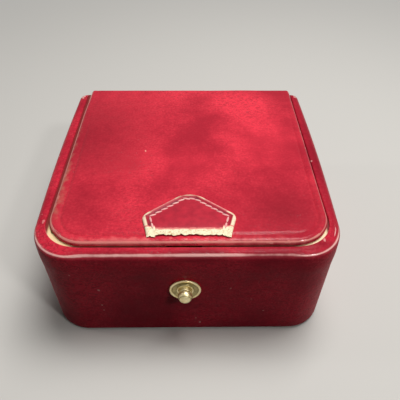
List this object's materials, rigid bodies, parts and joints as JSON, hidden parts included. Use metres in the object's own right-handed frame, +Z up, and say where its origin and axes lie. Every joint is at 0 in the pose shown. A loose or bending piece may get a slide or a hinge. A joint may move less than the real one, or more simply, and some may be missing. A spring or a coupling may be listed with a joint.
{
  "type": "leather jewellery case",
  "caption": "Low square leather-covered jewellery case with a let-in lid on a leather hinge, a brass push-button catch in the front, a pull-tab stub and a padded cream inside.",
  "frame": {"origin": "middle of the base, on the surface that the case stands on", "axes": "+Z is up, -Y is the front with the push button, +X is to the right seen from the front"},
  "size_m": [0.09, 0.0907, 0.0421],
  "materials": {
    "oxblood_leather": "semi-gloss, worn",
    "base_leather": "matt, rubbed",
    "tab_leather": "matt, creased, with a pale cut edge",
    "tab_thread": "waxed thread, faded",
    "cream_kid": "smooth, satin",
    "pad_satin": "silk satin over padding",
    "carcass_wood": "sawn, unfinished",
    "liner_wood": "sawn, unfinished",
    "lid_board": "thin stiff board",
    "gilt_brass": "polished, rubbed",
    "spring_brass": "rolled, satin"
  },
  "bodies": {
    "case": {"base_cover": "base_leather", "base_board": "carcass_wood", "front_wall": "carcass_wood", "left_wall": "carcass_wood", "right_wall": "carcass_wood", "back_wall": "carcass_wood", "left_corner_post": "carcass_wood", "right_corner_post": "carcass_wood", "body_leather": "oxblood_leather", "back_leather": "oxblood_leather", "hinge_leather": "oxblood_leather", "front_liner": "liner_wood", "left_liner": "liner_wood", "right_liner": "liner_wood", "back_liner": "liner_wood", "ledge_leather": "cream_kid", "floor_pad": "pad_satin", "button_barrel": "gilt_brass", "latch_spring": "spring_brass", "latch_pins": "spring_brass"},
    "button": {"push_button": "gilt_brass", "button_washer": "spring_brass"},
    "lid": {"lid_board": "lid_board", "lid_leather": "oxblood_leather", "lid_lining": "cream_kid", "lid_pad": "pad_satin", "strike_plate": "spring_brass", "strike_pins": "spring_brass", "pull_tab": "tab_leather", "tab_stitches": "tab_thread"}
  },
  "joints": [
    {"name": "lid_hinge", "type": "hinge", "parent": "case", "child": "lid", "pos_m": [0, 0.043, 0.0389], "axis": [-1, 0, 0], "range_deg": [0, 105], "deforming": ["hinge_leather", "latch_spring"]},
    {"name": "button_press", "type": "slide", "parent": "case", "child": "button", "axis": [0, 1, 0], "range_m": [0, 0.0012], "stiffness_N_per_m": 600, "springref_m": -0.001, "deforming": ["latch_spring"]}
  ]
}
